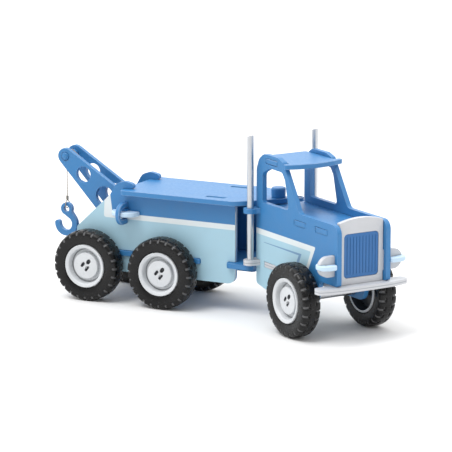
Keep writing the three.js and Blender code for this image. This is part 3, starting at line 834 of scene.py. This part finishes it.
def cap_mesh():
    """The hub cap, with three short slots cut into its face."""
    cap = turned("cap", CAP, wheel_white, (0, 0, 1), Vector())
    cap.modifiers.clear()
    bars = []
    for degrees, out, length, width in CAP_SLOTS:
        bar = bpy.data.objects.new("bar", stadium("bar", length, width, 4))
        angle = math.radians(degrees)
        place = Vector((out * math.cos(angle), out * math.sin(angle), SLOT_FLOOR)) * MM
        bar.matrix_world = Matrix.Translation(place) @ Matrix.Rotation(SLOT_SLANT, 4, "Z")
        bpy.context.scene.collection.objects.link(bar)
        cutter = cap.modifiers.new("slot", "BOOLEAN")
        cutter.object = bar
        cutter.solver = "EXACT"
        bars.append(bar)
    bpy.context.view_layer.update()
    evaluated = cap.evaluated_get(bpy.context.evaluated_depsgraph_get())
    shaped = bpy.data.meshes.new_from_object(evaluated)
    for piece in (cap, *bars):
        bpy.data.objects.remove(piece)
    # painted shade inside the three slots
    painted_shade = shaped.attributes.new("painted_shade", "FLOAT", "FACE")
    for face in shaped.polygons:
        x, y, z = face.center / MM
        painted_shade.data[face.index].value = 1 if math.hypot(x, y) < 9.5 and 3 < z < 6.75 else 0
    return shaped


def shade_rim(mesh):
    """Marks painted shade in the groove round the cap, at 0.6, and full painted shade on the core of
    the rim's inner side.
    """
    painted_shade = mesh.attributes.new("painted_shade", "FLOAT", "FACE")
    for face in mesh.polygons:
        x, y, z = face.center / MM
        r = math.hypot(x, y)
        groove = 0.6 if 12 < r < 16.9 and 0.5 < z < 5.5 else 0
        painted_shade.data[face.index].value = 1 if r < 18.9 and z < 0.5 else groove


def make_wheels():
    rim = turned("rim", RIM, wheel_white, (0, 0, 1), Vector(), 96)
    shade_rim(rim.data)
    shapes = (
        ("tyre", tyre_mesh(), rubber, "tyre"),
        ("rim", rim.data.copy(), wheel_white, "white_wheel"),
        ("hub_cap", cap_mesh(), wheel_white, "white_wheel"),
    )
    bpy.data.objects.remove(rim)
    for place in ("rear", "mid", "front"):
        for side, sign in SIDES:
            centre, out = wheel_centre(place, sign)
            turn = out.to_track_quat("Z", "Y").to_matrix().to_4x4()
            for name, mesh, material, slot in shapes:
                piece = link(f"{name}_{place}_{side}_shape", mesh.copy(), material)
                piece.matrix_world = Matrix.Translation(centre) @ turn
                stand_for(piece, f"{name}_{place}_{side}", f"wheel_{place}_{side}")


make_wheels()


# --- floor and light -------------------------------------------------------------------------

FLOOR_HALF = 6
SKY_BRIGHT_SIDE = (-0.262, 0.525, 0.81)     # overhead and behind the truck, as the camera sees it
SKY_SPAN = (-0.6, 0.8)                      # where the sky starts and stops getting brighter
SKY_LEVELS = (0.15, 1.75)                   # from its dim side to its bright one
KEY_SIDE = Vector((-0.25, -0.5, 1))
KEY_STRENGTH = 1.3
KEY_SPREAD = math.radians(30)


def make_stage():
    half = FLOOR_HALF
    corners = [(-half, -half, 0), (half, -half, 0), (half, half, 0), (-half, half, 0)]
    net = Net("floor_paper")
    tone = net.mix(net.noise(3, 2), (0.8, 0.8, 0.8, 1), (0.82, 0.82, 0.82, 1))
    grain = net.math("MULTIPLY", net.noise(400, 2), 0.02)
    paper = net.finish(tone, 0.9, grain, Specular_IOR_Level=0)
    floor = link("floor", mesh_of("floor", corners, [(0, 1, 2, 3)]), paper, smooth=False)

    world = bpy.data.worlds.new("studio")
    world.use_nodes = True
    tree = world.node_tree
    sky = tree.nodes["Background"]
    sky.inputs["Color"].default_value = (1, 1, 1, 1)
    facing = tree.nodes.new("ShaderNodeVectorMath")
    facing.operation = "DOT_PRODUCT"
    tree.links.new(tree.nodes.new("ShaderNodeTexCoord").outputs["Generated"], facing.inputs[0])
    facing.inputs[1].default_value = SKY_BRIGHT_SIDE
    level = tree.nodes.new("ShaderNodeMapRange")
    tree.links.new(facing.outputs["Value"], level.inputs[0])
    for socket, value in zip(list(level.inputs)[1:5], (*SKY_SPAN, *SKY_LEVELS)):
        socket.default_value = value
    tree.links.new(level.outputs[0], sky.inputs["Strength"])
    bpy.context.scene.world = world

    lamp = bpy.data.lights.new("key", "SUN")
    lamp.energy = KEY_STRENGTH
    lamp.angle = KEY_SPREAD
    key = bpy.data.objects.new("key", lamp)
    key.rotation_euler = KEY_SIDE.to_track_quat("Z", "Y").to_euler()
    bpy.context.scene.collection.objects.link(key)
    bpy.context.scene.view_settings.view_transform = "Standard"


make_stage()
